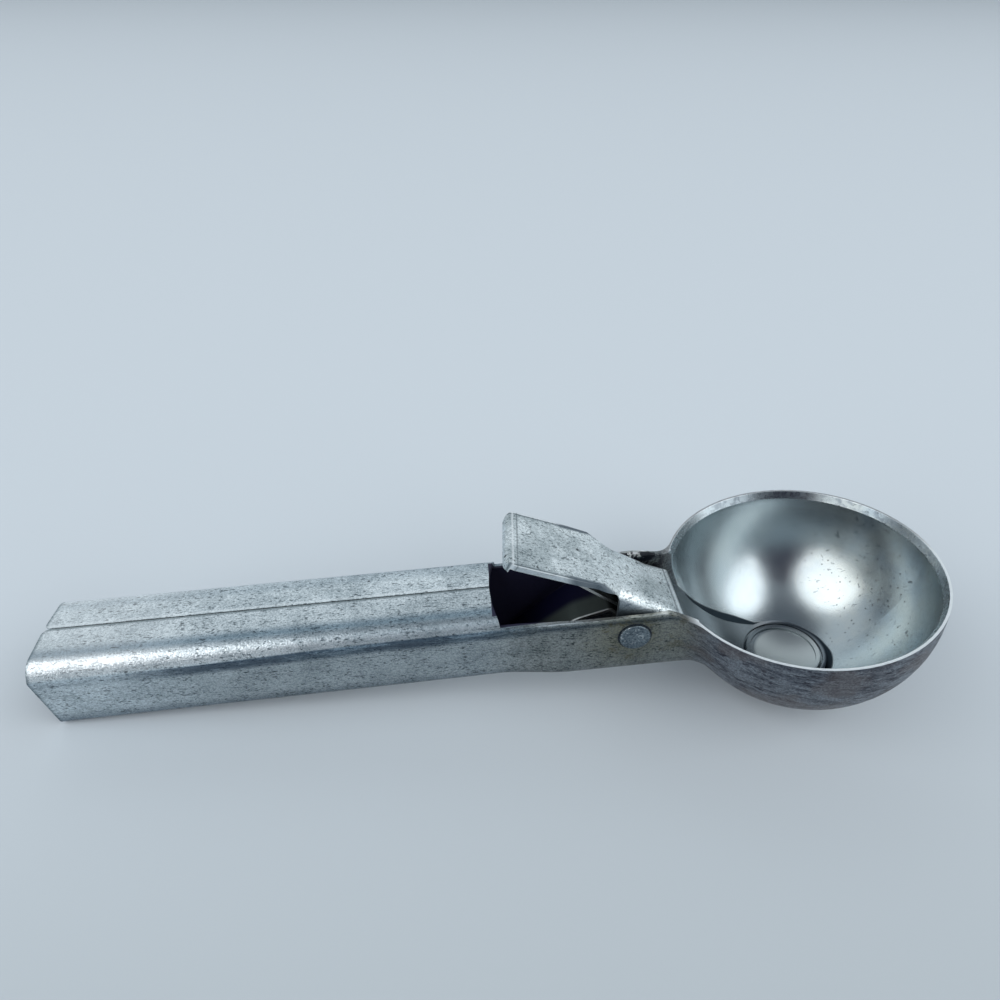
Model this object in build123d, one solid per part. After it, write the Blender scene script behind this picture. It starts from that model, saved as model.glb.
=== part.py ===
from build123d import *
import os
from math import asin, atan2, acos, cos, degrees, hypot, radians, sin, tan

# A sheet-aluminium thumb-lever scoop, in millimetres.
# Every piece is drawn in the tool frame: origin at the middle of the bowl's rim, +X out of the
# handle through the bowl, +Z up off the handle. rest() then lays the finished piece on the table.

# Sheet
BODY_SHEET = 1.4                # bowl, neck and handle are one stamping of this sheet
LEVER_SHEET = 1.2               # thumb lever
SPRING_SHEET = 0.6              # return spring

# Bowl
BOWL_RADIUS = 30.3              # outside of the bowl
BOWL_STRAIGHT = 1.7             # straight wall between the rim and the round of the bowl
RIM_SHEET = 0.5                 # up this wall the sheet thins, inside, to this
RIM_TILT = 2.7                  # degrees, the rim's front edge stands up off the handle's line

# Handle, a folded tube: half widths and heights at its front and rear end
TUBE_BEHIND = 41.2              # the closed tube begins this far behind the bowl's wall
HANDLE_REACH = 170.8            # rear end to the rim's middle, measured along the table
SEAM_HEIGHT = 3.4               # top line, where the two wings meet
SHOULDER_DROP = 0.7             # from the seam down to the shoulder
FRONT_CREASE = 0.4              # height of the crisp side line, at the tube's widest place
REAR_CREASE = -0.9
FRONT_CREASE_HALF = 11.1
REAR_CREASE_HALF = 12.0
FRONT_SHOULDER_HALF = 9.7
REAR_SHOULDER_HALF = 10.3
FRONT_BOTTOM_HALF = 7.4
REAR_BOTTOM_HALF = 7.9
FRONT_BOTTOM = -18.1            # underside of the tube at its front
REAR_BOTTOM = -19.4             # and at its rear end
FRONT_SHOULDER_ROUND = 3.0
REAR_SHOULDER_ROUND = 4.2
CREASE_ROUND = 1.6
BOTTOM_ROUND = 2.6
SEAM_GAP = 0.3                  # slit between the wings
WING_ROUND = 1.6                # rounded wing corners at the rear end
WING_ARC = 2.7                  # how far the wings' front edge is cut back at the seam

# Neck, an open trough
TROUGH_BEHIND = 22.7            # the trough has its full section from here, behind the bowl's wall
NECK_HALF = 10.8                # outside half width
NECK_BOTTOM = -17.5
NECK_ROUND = 4.2                # bottom corners
NECK_CREASE = 1.6               # the side line ends here, above the trough's wall
NECK_CROWN = 1.4                # slope of the closed section that leads the tube over the trough
NECK_TOP = [(25.7, 0.5), (12.2, 0.45), (4.0, 0.45)]  # the wall's top edge: behind the bowl, height
FLARE_AHEAD = 3.3               # the top edge meets the rim line here, ahead of the bowl's rear
NECK_BEVEL = 0.8                # the sheet thins by this much at the walls' inner top edges
JUNCTION_ROUND = 8.0            # where trough and bowl run into each other, outside

# Rivet
PIVOT_BEHIND = 10.2             # behind the bowl's wall
PIVOT_Z = -5.5
SHANK_RADIUS = 2.0
HEAD_RADIUS = 3.45
HEAD_THICK = 0.55
HEAD_ROUND = 0.25
HOLE_CLEARANCE = 0.05           # radial, shank in the holes

# Thumb lever: a flat tab behind, and ahead of its knee the saddle, which falls steeper
TAB_SLOPE = 24.2                # degrees against the handle, the tab stands up at the rear
TAB_HEIGHT = 10.2               # top face of the tab off the pivot
TAB_REACH = 33.4                # rear end of the tab behind the pivot, along the tab
TAB_HALF = 9.5
TAB_SKEW = 0.7                  # its end is cut a little out of square, near corner further back
TAB_CORNER = 2.2
TAB_CURL = 1.6                  # outside radius of the curled-down end
TAB_LIP = 2.2                   # depth of that end below the tab's top face
KNEE_BACK = 12.6                # the knee behind the pivot, along the tab
KNEE_BEND = 9.6                 # degrees
EAR_GAP = 0.3                   # between an ear and the trough wall, each side
EAR_BEND = 4.0                  # outside radius of the bend between saddle and ears
EAR_REAR = -8.2                 # where the ear's rear edge meets the saddle, from the pivot
EAR_BOSS = 4.6                  # round end of the ear about the pivot
EAR_BLEND = 2.5                 # the ear's rear edge curves into the saddle with this radius
CREST_AHEAD = 8.5               # the saddle's front corner ahead of the pivot, along the saddle
CREST_HALF = 7.7                # half width there
CREST_ROUND = 1.8
EDGE_ROUND = 0.15               # the cut edges of the saddle

# Ejector tongue, the lever's front part
TONGUE_GAP = 0.25               # between the tongue and the bowl
TONGUE_TOP_HALF = 8.0           # half width where it lies down on the bowl
TONGUE_HALF = 9.3               # half width further down
DISC_RADIUS = 10.2
DISC_BEHIND = 0.2               # the disc's middle behind the bowl's middle
GROOVE_RADIUS = 9.4             # outside of the ring-shaped groove in the disc
GROOVE_WIDTH = 0.7
GROOVE_DEPTH = 0.55
BEAD_WIDTH = 0.9                # raised ring, right inside the groove
BEAD_HEIGHT = 0.6

# Return spring, a leaf wound round the front of the rivet's shank
SPRING_HALF = 6.3
SPRING_TOE_HALF = 4.6           # both legs taper to this half width at the lower leg's end
SPRING_LIP = 4.0                # flat end of each leg
SPRING_TIP_BACK = 21.5          # the upper leg touches the tab this far behind the pivot
SPRING_HUMP = (-4.1, 4.4)       # the lower leg comes up behind the shank to here, from the pivot
SPRING_HUMP_ROUND = 1.2
SPRING_SAG = (-12.5, 2.0)       # and falls steeper from here
SPRING_FOOT_BACK = 30.0         # down to the trough's floor, this far behind the pivot
SPRING_GAP = 0.3                # between the upper leg's tip and the tab

MARGIN = 20.0                   # how far cutting shapes reach past what they cut
NECK_STEPS = 4                  # the tube's section changes to the trough's in these steps

HANDLE_FRONT = -BOWL_RADIUS - TUBE_BEHIND
NECK_REAR = -BOWL_RADIUS - TROUGH_BEHIND
FLARE_START = -BOWL_RADIUS + FLARE_AHEAD
PIVOT_X = -BOWL_RADIUS - PIVOT_BEHIND
EAR_HALF = NECK_HALF - BODY_SHEET - EAR_GAP
SADDLE_SLOPE = TAB_SLOPE + KNEE_BEND
SADDLE_HEIGHT = TAB_HEIGHT * cos(radians(KNEE_BEND)) - KNEE_BACK * sin(radians(KNEE_BEND))
SADDLE_KNEE = -KNEE_BACK * cos(radians(KNEE_BEND)) - TAB_HEIGHT * sin(radians(KNEE_BEND))
TONGUE_OUTSIDE = BOWL_RADIUS - BODY_SHEET - TONGUE_GAP
TONGUE_INSIDE = TONGUE_OUTSIDE - LEVER_SHEET

# The resting pose: bowl and rear end of the handle both touch the table
CENTRE_X = BOWL_STRAIGHT * sin(radians(RIM_TILT))
CENTRE_Z = -BOWL_STRAIGHT * cos(radians(RIM_TILT))


def rest_tilt():
    """Degrees the handle's line leans, its rear end cut plumb and down on the table."""
    tilt = 0.0
    for _ in range(6):
        run = CENTRE_X + HANDLE_REACH - REAR_BOTTOM * tan(tilt)
        rise = CENTRE_Z - REAR_BOTTOM
        tilt = asin(BOWL_RADIUS / hypot(rise, run)) - atan2(rise, run)
    return degrees(tilt)


REST_TILT = rest_tilt()


def leaning(x, z):
    """A tool-frame place seen from the rim's middle after the tool is laid down."""
    turn = radians(REST_TILT)
    return x * cos(turn) - z * sin(turn), x * sin(turn) + z * cos(turn)


def rest(part):
    """Lay a finished piece on the table, middle of the whole scoop's footprint at the origin."""
    centre_x, centre_z = leaning(CENTRE_X, CENTRE_Z)
    middle = (centre_x + BOWL_RADIUS - HANDLE_REACH) / 2
    return Pos(-middle, 0, BOWL_RADIUS - centre_z) * Rot(0, -REST_TILT, 0) * part


def inset(points, amount):
    """A convex outline, anticlockwise, with every side moved inward."""
    moved = []
    for i, here in enumerate(points):
        after = points[(i + 1) % len(points)]
        along_in = (Vector(*here) - Vector(*points[i - 1])).normalized()
        along_out = (Vector(*after) - Vector(*here)).normalized()
        normal_in = Vector(-along_in.Y, along_in.X)
        normal_out = Vector(-along_out.Y, along_out.X)
        step = (normal_in + normal_out) * (amount / (1 + normal_in.dot(normal_out)))
        moved.append((here[0] + step.X, here[1] + step.Y))
    return moved


def handle_outline(back):
    """Half the tube's outline at its front, back 0, or at its rear end, back 1, or past it."""
    def between(front, rear):
        return front + (rear - front) * back
    shoulder = (between(FRONT_SHOULDER_HALF, REAR_SHOULDER_HALF), SEAM_HEIGHT - SHOULDER_DROP)
    crease = (between(FRONT_CREASE_HALF, REAR_CREASE_HALF), between(FRONT_CREASE, REAR_CREASE))
    bottom = (between(FRONT_BOTTOM_HALF, REAR_BOTTOM_HALF), between(FRONT_BOTTOM, REAR_BOTTOM))
    return [(0.0, SEAM_HEIGHT), shoulder, crease, bottom]


def neck_outline():
    """Half the trough's outline, closed over the top as the tube is."""
    crease = (NECK_HALF, NECK_CREASE)
    shoulder = (NECK_HALF - NECK_CROWN, NECK_CREASE + 2 * NECK_CROWN)
    return [(0.0, NECK_CREASE + 3 * NECK_CROWN), shoulder, crease, (NECK_HALF, NECK_BOTTOM)]


def blend(first, second, share):
    """The outline part of the way from one to another, easing in and out."""
    eased = share * share * (3 - 2 * share)
    return [(a + (c - a) * eased, b + (d - b) * eased) for (a, b), (c, d) in zip(first, second)]


def section(x, half, shoulder_round, bottom_round, depth):
    """A face across the tool at x from half an outline, inset by depth."""
    left = [(-y, z) for y, z in half]
    right = [(y, z) for y, z in reversed(half[1:])]
    points = inset(left + right, depth)
    side = [shoulder_round - depth, CREASE_ROUND - depth, bottom_round - depth]
    across = Plane(origin=(x, 0, 0), x_dir=(0, 1, 0), z_dir=(1, 0, 0))
    outline = FilletPolyline(*points, radius=[0, *side, *reversed(side)], close=True)
    return across * make_face(outline)


def tube(depth):
    """Handle and trough as one solid bar: depth 0 is their outside, BODY_SHEET their inside."""
    rear_x = -HANDLE_REACH - MARGIN
    back = (HANDLE_FRONT - rear_x) / (HANDLE_REACH + HANDLE_FRONT)
    rear = section(rear_x, handle_outline(back), REAR_SHOULDER_ROUND, BOTTOM_ROUND, depth)
    front = section(HANDLE_FRONT, handle_outline(0), FRONT_SHOULDER_ROUND, BOTTOM_ROUND, depth)
    handle = loft([rear, front], ruled=True)
    steps = []
    for i in range(NECK_STEPS + 1):
        share = i / NECK_STEPS
        x = HANDLE_FRONT + (NECK_REAR - HANDLE_FRONT) * share
        bottom_round = BOTTOM_ROUND + (NECK_ROUND - BOTTOM_ROUND) * share
        outline = blend(handle_outline(0), neck_outline(), share)
        steps.append(section(x, outline, FRONT_SHOULDER_ROUND, bottom_round, depth))
    return handle + loft(steps)


def trough(depth):
    """The straight part of the trough, run on into the bowl, its walls run up past the rim."""
    half, bottom, top = NECK_HALF - depth, NECK_BOTTOM + depth, MARGIN / 2
    points = [(-half, top), (-half, bottom), (half, bottom), (half, top)]
    corner = NECK_ROUND - depth
    face = make_face(FilletPolyline(*points, radius=[0, corner, corner, 0], close=True))
    across = Plane(origin=(NECK_REAR, 0, 0), x_dir=(0, 1, 0), z_dir=(1, 0, 0))
    return extrude(across * face, amount=-NECK_REAR - BOWL_RADIUS / 2)


def bowl(radius):
    """The bowl as a solid of this radius, its wall run up past the rim."""
    round_part = Pos(0, 0, -BOWL_STRAIGHT) * Sphere(radius)
    straight = Cylinder(radius, MARGIN, align=(Align.CENTER, Align.CENTER, Align.MIN))
    return Rot(0, -RIM_TILT, 0) * (round_part + Pos(0, 0, -BOWL_STRAIGHT) * straight)


def neck_end(solid, radius, tightness):
    """Run trough and bowl into each other with a round of this tightness."""
    def meets(edge):
        middle = edge @ 0.5
        ahead = min((edge @ 0).X, (edge @ 1).X) > -radius - 1
        inside = abs(middle.Y) < NECK_HALF + 0.01 and middle.Z < MARGIN / 2
        return ahead and inside and middle.X < -radius / 2
    return fillet([edge for edge in solid.edges() if meets(edge)], tightness)


def body_form(depth):
    """Bowl, trough and handle as one filled form: depth 0 is the outside, BODY_SHEET the hollow."""
    radius = BOWL_RADIUS - depth
    front = neck_end(trough(depth) + bowl(radius), radius, JUNCTION_ROUND + depth)
    return front + tube(depth)


def above_rim():
    """All that lies above the trough's top edge and the rim, ahead of the wings' front edge."""
    rim_slope = tan(radians(RIM_TILT))
    meet = (FLARE_START, FLARE_START * rim_slope)
    ahead = (BOWL_RADIUS + MARGIN, (BOWL_RADIUS + MARGIN) * rim_slope)
    rear = (HANDLE_FRONT - MARGIN, 0.0)
    crown = [(-BOWL_RADIUS - behind, height) for behind, height in NECK_TOP]
    edge = Spline(rear, *crown, meet, tangents=[(1, 0), (1, rim_slope)])
    rim = Line(meet, ahead)
    over = Polyline(ahead, (ahead[0], 2 * MARGIN), (rear[0], 2 * MARGIN), rear)
    side = extrude(Plane.XZ * make_face(edge + rim + over), amount=2 * BOWL_RADIUS, both=True)
    width = NECK_HALF + MARGIN
    sagitta = WING_ARC * (width / REAR_CREASE_HALF) ** 2
    ends = HANDLE_FRONT + sagitta
    wings = ThreePointArc((ends, -width), (HANDLE_FRONT, 0), (ends, width))
    far = BOWL_RADIUS + MARGIN
    wide = 3 * BOWL_RADIUS
    around = Polyline((ends, width), (0, wide), (far, wide), (far, -wide), (0, -wide), (ends, -width))
    plan = extrude(make_face(wings + around), amount=2 * BOWL_RADIUS, both=True)
    return side & plan


def neck_bevel():
    """What is worn off the inner top edges of the trough's walls, fading out toward both ends."""
    inner = NECK_HALF - BODY_SHEET
    top = NECK_TOP[1][1]

    def across(x, depth):
        half = [(inner + depth + MARGIN, top + MARGIN), (inner, top - depth)]
        face = make_face(Polyline(*half, *[(-y, z) for y, z in reversed(half)], close=True))
        return Plane(origin=(x, 0, 0), x_dir=(0, 1, 0), z_dir=(1, 0, 0)) * face

    faded = NECK_BEVEL / 40
    rear, front = across(HANDLE_FRONT + 2 * WING_ARC, faded), across(-BOWL_RADIUS, faded)
    full_rear, full_front = across(NECK_REAR, NECK_BEVEL), across(PIVOT_X + HEAD_RADIUS, NECK_BEVEL)
    return loft([rear, full_rear, full_front, front], ruled=True)


def scoop_body():
    """The stamping: drawn bowl, trough neck and the handle whose wings meet at the seam."""
    body = body_form(0) - body_form(BODY_SHEET) - above_rim()
    rear = Box(3 * MARGIN, 3 * BOWL_RADIUS, 6 * BOWL_RADIUS, align=(Align.MAX, Align.CENTER, Align.CENTER))
    body -= Rot(0, REST_TILT, 0) * Pos(-HANDLE_REACH, 0, 0) * rear
    slit = Box(HANDLE_REACH, SEAM_GAP, 2 * MARGIN, align=(Align.MAX, Align.CENTER, Align.MIN))
    body -= Pos(HANDLE_FRONT + MARGIN / 2, 0, REAR_CREASE) * slit
    hole = Cylinder(SHANK_RADIUS + HOLE_CLEARANCE, 4 * NECK_HALF, rotation=(90, 0, 0))
    body -= Pos(PIVOT_X, 0, PIVOT_Z) * hole

    def wing_corner(edge):
        middle = edge @ 0.5
        beside_slit = abs(abs(middle.Y) - SEAM_GAP / 2) < 0.01
        return middle.X < -HANDLE_REACH + 1 and beside_slit and edge.length < 2 * BODY_SHEET

    rim_align = (Align.CENTER, Align.CENTER, Align.MAX)
    bevel = Cone(BOWL_RADIUS - BODY_SHEET, BOWL_RADIUS - RIM_SHEET, BOWL_STRAIGHT, align=rim_align)
    body -= Rot(0, -RIM_TILT, 0) * bevel
    body -= neck_bevel()
    return fillet([edge for edge in body.edges() if wing_corner(edge)], WING_ROUND)


def pivot_rivet():
    """Shank through both trough walls, with a flat head against each."""
    shank = Cylinder(SHANK_RADIUS, 2 * NECK_HALF)
    head = Cylinder(HEAD_RADIUS, HEAD_THICK, align=(Align.CENTER, Align.CENTER, Align.MIN))
    head = fillet(head.edges().filter_by(GeomType.CIRCLE).sort_by(Axis.Z)[-1], HEAD_ROUND)
    head = Pos(0, 0, NECK_HALF) * head
    rivet = shank + head + Rot(180, 0, 0) * head
    return Pos(PIVOT_X, 0, PIVOT_Z) * Rot(90, 0, 0) * rivet


def on_slope(x, z, slope):
    """A tool-frame place from one along and off the tab or the saddle, measured from the pivot."""
    turn = radians(slope)
    return PIVOT_X + x * cos(turn) + z * sin(turn), PIVOT_Z - x * sin(turn) + z * cos(turn)


def to_saddle(x, z):
    """A place along and off the saddle, measured from the pivot, from one in the tool frame."""
    turn = radians(SADDLE_SLOPE)
    along, up = x - PIVOT_X, z - PIVOT_Z
    return along * cos(turn) - up * sin(turn), along * sin(turn) + up * cos(turn)


def strip_fall():
    """Where the strip from the crest lies down on the bowl: its direction there and its length."""
    centre = Vector(*to_saddle(CENTRE_X, CENTRE_Z))
    crest = Vector(CREST_AHEAD, SADDLE_HEIGHT)
    away = crest - centre
    turn = atan2(away.Y, away.X) + acos(TONGUE_INSIDE / away.length)
    touch = centre + Vector(cos(turn), sin(turn)) * TONGUE_INSIDE
    fall = touch - crest
    return centre, fall.normalized(), fall.length


def side_face(points, rounds):
    """A face in the lever's side view."""
    return Plane.XZ * make_face(FilletPolyline(*points, radius=rounds, close=True))


def saddle_form(depth):
    """Saddle and ears as a filled form, its top corners rolled over where the ears are."""
    def across(x, half, corner):
        half -= depth
        top = SADDLE_HEIGHT - depth
        points = [(-half, top), (-half, -SADDLE_HEIGHT), (half, -SADDLE_HEIGHT), (half, top)]
        corner = max(corner - depth, EDGE_ROUND)
        face = make_face(FilletPolyline(*points, radius=[corner, 0, 0, corner], close=True))
        return Plane(origin=(x, 0, 0), x_dir=(0, 1, 0), z_dir=(1, 0, 0)) * face

    knee = across(SADDLE_KNEE, EAR_HALF, EDGE_ROUND)
    rear = across(EAR_REAR, EAR_HALF, EAR_BEND)
    front = across(EAR_BOSS / 2, EAR_HALF, EAR_BEND)
    crest_face = across(CREST_AHEAD, CREST_HALF, EDGE_ROUND)
    over_crest = extrude(crest_face, amount=2 * CREST_ROUND, dir=(1, 0, 0))
    form = over_crest
    for first, second in ((knee, rear), (rear, front), (front, crest_face)):
        form += loft([first, second], ruled=True)
    return form


def ear_side():
    """The ears in side view, with the saddle above them."""
    top = SADDLE_HEIGHT + MARGIN
    under = SADDLE_HEIGHT - LEVER_SHEET
    rear = [(SADDLE_KNEE, top), (SADDLE_KNEE, under), (EAR_REAR, under), (-EAR_BOSS, 0)]
    front = [(EAR_BOSS, 0), (CREST_AHEAD - CREST_ROUND, under), (CREST_AHEAD - CREST_ROUND, top)]
    outline = FilletPolyline(*rear, *front, radius=[0, 0, EAR_BLEND, 0, 0, 0, 0], close=True)
    side = Plane.XZ * (make_face(outline) + Circle(EAR_BOSS))
    return extrude(side, amount=2 * EAR_HALF, both=True)


def tab():
    """The flat thumb tab from the knee to its curled-down end."""
    near, far = -TAB_REACH - TAB_SKEW, -TAB_REACH + TAB_SKEW
    knee, slant = -KNEE_BACK, 2 * EAR_BLEND
    points = [(near, -TAB_HALF), (knee - slant, -TAB_HALF), (knee, -EAR_HALF), (knee, EAR_HALF),
              (knee - slant, TAB_HALF), (far, TAB_HALF)]
    rounds = [TAB_CORNER, MARGIN, 0, 0, MARGIN, TAB_CORNER]
    plan = extrude(make_face(FilletPolyline(*points, radius=rounds, close=True)), amount=-TAB_LIP)
    deep = MARGIN / 2
    hook = [(0, 0), (0, -TAB_LIP), (LEVER_SHEET, -TAB_LIP), (LEVER_SHEET, -LEVER_SHEET)]
    run = [(deep, -LEVER_SHEET), (deep, 0)]
    hook_rounds = [TAB_CURL, 0, 0, TAB_CURL - LEVER_SHEET, 0, 0]
    curled = extrude(side_face(hook + run, hook_rounds), amount=MARGIN, both=True)
    skew = degrees(atan2(TAB_SKEW, TAB_HALF))
    curled = Pos(-TAB_REACH, 0, 0) * Rot(0, 0, -skew) * curled
    flat = Box(TAB_REACH, 4 * TAB_HALF, LEVER_SHEET, align=(Align.MIN, Align.CENTER, Align.MAX))
    return Pos(0, 0, TAB_HEIGHT) * (plan & (curled + Pos(deep / 2 - TAB_REACH, 0, 0) * flat))


def crest():
    """The saddle bent down at its front, as far as where the strip begins."""
    centre, fall, length = strip_fall()
    inward = Vector(fall.Y, -fall.X) * LEVER_SHEET
    corner = Vector(CREST_AHEAD, SADDLE_HEIGHT)
    end = corner + fall * CREST_ROUND * 1.5
    half_turn = atan2(-fall.Y, fall.X) / 2
    under = corner + Vector(-tan(half_turn) * LEVER_SHEET, -LEVER_SHEET)
    start = Vector(0, SADDLE_HEIGHT)
    points = [start, corner, end, end + inward, under, start - Vector(0, LEVER_SHEET)]
    rounds = [0, CREST_ROUND, 0, 0, CREST_ROUND - LEVER_SHEET, 0]
    face = side_face([(point.X, point.Y) for point in points], rounds)
    return extrude(face, amount=EAR_HALF, both=True)


def strip():
    """The strip from the crest down to the bowl, flat above and lying in the bowl's round below."""
    centre, fall, length = strip_fall()

    def plane(back):
        origin = centre - fall * back
        return Plane(origin=(origin.X, 0, origin.Y), x_dir=(0, 1, 0), z_dir=(fall.X, 0, fall.Y))

    def sag(radius):
        return -(radius**2 - TONGUE_TOP_HALF**2) ** 0.5

    low, high = TONGUE_OUTSIDE, TONGUE_INSIDE
    outer = ThreePointArc((-TONGUE_TOP_HALF, sag(low)), (0, -low), (TONGUE_TOP_HALF, sag(low)))
    inner = ThreePointArc((TONGUE_TOP_HALF, sag(high)), (0, -high), (-TONGUE_TOP_HALF, sag(high)))
    sides = Line(outer @ 1, inner @ 0) + Line(inner @ 1, outer @ 0)
    round_face = plane(0) * make_face(outer + inner + sides)
    flat = Pos(0, -(low + high) / 2) * Rectangle(2 * CREST_HALF, LEVER_SHEET)
    flat_face = plane(length - CREST_ROUND * 1.5) * flat
    return loft([flat_face, round_face], ruled=True)


def tongue():
    """The part that lies in the bowl: a band of the bowl's round, its disc and the raised ring."""
    centre = Pos(CENTRE_X, 0, CENTRE_Z)
    shell = centre * (Sphere(TONGUE_OUTSIDE) - Sphere(TONGUE_INSIDE))
    disc_x = CENTRE_X - DISC_BEHIND
    widen = TONGUE_INSIDE * cos(radians(45))
    narrow = TONGUE_INSIDE * cos(radians(TAB_SLOPE))
    points = [(-BOWL_RADIUS, TONGUE_TOP_HALF), (-narrow, TONGUE_TOP_HALF), (-widen, TONGUE_HALF),
              (disc_x, TONGUE_HALF)]
    mirrored = [(x, -y) for x, y in reversed(points)]
    plan = make_face(Polyline(*points, *mirrored, points[0])) + Pos(disc_x, 0) * Circle(DISC_RADIUS)
    band = shell & extrude(plan, amount=-2 * BOWL_RADIUS)
    origin, fall, length = strip_fall()
    x, z = on_slope(origin.X + fall.X, origin.Y + fall.Y, SADDLE_SLOPE)
    direction = Vector(x - CENTRE_X, 0, z - CENTRE_Z)
    on_floor = (Align.CENTER, Align.CENTER, Align.MIN)
    block = Box(4 * BOWL_RADIUS, 4 * BOWL_RADIUS, 2 * BOWL_RADIUS, align=on_floor)
    below = Plane(origin=(CENTRE_X, 0, CENTRE_Z), x_dir=(0, 1, 0), z_dir=direction) * block
    band = band & below
    ring_shell = centre * (Sphere(TONGUE_OUTSIDE) - Sphere(TONGUE_INSIDE - BEAD_HEIGHT))
    bead_radius = GROOVE_RADIUS - GROOVE_WIDTH
    ring = Circle(bead_radius) - Circle(bead_radius - BEAD_WIDTH)
    groove_shell = centre * (Sphere(TONGUE_INSIDE + GROOVE_DEPTH) - Sphere(TONGUE_INSIDE - BEAD_HEIGHT))
    groove = Circle(GROOVE_RADIUS) - Circle(bead_radius)
    band -= groove_shell & extrude(Pos(disc_x, 0) * groove, amount=-2 * BOWL_RADIUS)
    return band + (ring_shell & extrude(Pos(disc_x, 0) * ring, amount=-2 * BOWL_RADIUS))


def thumb_lever():
    """One stamping: thumb tab, ears on the rivet, crest, and the tongue that frees the scoop."""
    saddle = (saddle_form(0) - saddle_form(LEVER_SHEET)) & ear_side()
    top = saddle + (crest() & saddle_form(0)) + strip()
    top -= Rot(90, 0, 0) * Cylinder(SHANK_RADIUS + HOLE_CLEARANCE, 4 * EAR_HALF)
    pivot = Pos(PIVOT_X, 0, PIVOT_Z)
    return pivot * Rot(0, SADDLE_SLOPE, 0) * top + pivot * Rot(0, TAB_SLOPE, 0) * tab() + tongue()


def return_spring():
    """A leaf wound round the shank, one leg up under the tab and one down on the trough's floor."""
    hug = SHANK_RADIUS + HOLE_CLEARANCE + SPRING_SHEET / 2
    pivot = Vector(PIVOT_X, PIVOT_Z)
    under = TAB_HEIGHT - LEVER_SHEET - SPRING_GAP - SPRING_SHEET / 2
    tip = Vector(*on_slope(-SPRING_TIP_BACK, under, TAB_SLOPE))
    lip = Vector(*on_slope(-SPRING_TIP_BACK - SPRING_LIP, under, TAB_SLOPE))
    hump = pivot + Vector(*SPRING_HUMP)
    sag = pivot + Vector(*SPRING_SAG)
    floor = FRONT_BOTTOM + BODY_SHEET + SPRING_SHEET / 2 + HOLE_CLEARANCE
    foot = Vector(PIVOT_X - SPRING_FOOT_BACK, floor)
    toe = foot - Vector(SPRING_LIP, 0)

    def touches(place, side):
        away = place - pivot
        return atan2(away.Y, away.X) + side * acos(hug / away.length)

    def on_bend(turn):
        return pivot + Vector(cos(turn), sin(turn)) * hug

    front, back = touches(tip, -1), touches(hump, 1) - radians(360)
    up_leg = FilletPolyline(lip, tip, on_bend(front), radius=2 * SPRING_LIP)
    bend = ThreePointArc(on_bend(front), on_bend((front + back) / 2), on_bend(back))
    rounds = [SPRING_HUMP_ROUND, 2 * SPRING_LIP, 2 * SPRING_LIP]
    low_leg = FilletPolyline(on_bend(back), hump, sag, foot, toe, radius=rounds)
    path = Plane.XZ * Wire([*up_leg.edges(), *bend.edges(), *low_leg.edges()])
    start = Plane(origin=path @ 0, x_dir=(0, 1, 0), z_dir=path % 0)
    leaf = sweep(start * Rectangle(2 * SPRING_HALF, SPRING_SHEET), path=path)
    one_side = [(PIVOT_X + MARGIN, SPRING_HALF), (sag.X, SPRING_HALF), (toe.X, SPRING_TOE_HALF)]
    other_side = [(x, -y) for x, y in reversed(one_side)]
    taper = make_face(Polyline(*one_side, *other_side, close=True))
    return leaf & extrude(taper, amount=2 * MARGIN, both=True)


def main():
    os.makedirs("parts", exist_ok=True)
    pieces = {
        "scoop_body": scoop_body(),
        "thumb_lever": thumb_lever(),
        "pivot_rivet": pivot_rivet(),
        "return_spring": return_spring(),
    }
    for name, piece in pieces.items():
        export_step(rest(piece), f"parts/{name}.step")


main()
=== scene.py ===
from math import cos, pi, radians, sin, tan

import bmesh
import bpy
from mathutils import Matrix, Vector


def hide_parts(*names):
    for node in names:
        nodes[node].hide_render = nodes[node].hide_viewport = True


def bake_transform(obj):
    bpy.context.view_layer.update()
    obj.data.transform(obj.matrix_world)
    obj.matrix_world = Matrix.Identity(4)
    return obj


# Looks for a thumb-lever scoop of worn sheet aluminium. Lengths are in metres, in the part's
# frame: +X from the handle to the bowl, +Z up, the table at zero.

MM = 0.001

# The object's own lines and middles
LEAN = radians(4.2088)                      # the handle's own line against the table
RIM_LEAN = radians(2.7)                     # the rim against the handle's line
RIM_MIDDLE = Vector((0.070148, 0.0, 0.031988))
PIVOT = Vector((0.030161, 0.0, 0.023530))
BOWL_INSIDE = 0.0289                        # radius of the bowl's inner face
BOWL_STRAIGHT = 0.0017                      # straight wall under the rim
TAB_SLOPE = radians(24.2)                   # the tab against the handle's line
TAB_SKEW = 0.074                            # how far the tab's end runs out of square
DISC_SETBACK = 0.2 * MM                     # the disc's middle behind the bowl's
DISC_RADIUS = 10.2 * MM                     # to the outside of the disc's rolled edge

HANDLE_LINE = Vector((cos(LEAN), 0.0, sin(LEAN)))
HANDLE_UP = Vector((-sin(LEAN), 0.0, cos(LEAN)))
RIM_LINE = Vector((cos(LEAN + RIM_LEAN), 0.0, sin(LEAN + RIM_LEAN)))
RIM_UP = Vector((-sin(LEAN + RIM_LEAN), 0.0, cos(LEAN + RIM_LEAN)))
BOWL_MIDDLE = RIM_MIDDLE - RIM_UP * BOWL_STRAIGHT
TAB_LINE = Vector((-cos(LEAN + TAB_SLOPE), 0.0, sin(LEAN + TAB_SLOPE)))

# Stations along the handle's line, from the rim's middle
REAR_END = -170.8 * MM
WINGS_FRONT = -71.5 * MM                    # front edge of the folded wings
NECK_START = -53.0 * MM                     # from here the neck's walls stand upright
REAR_EDGE_X = -100.6 * MM                   # the plumb rear end, along the table

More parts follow.
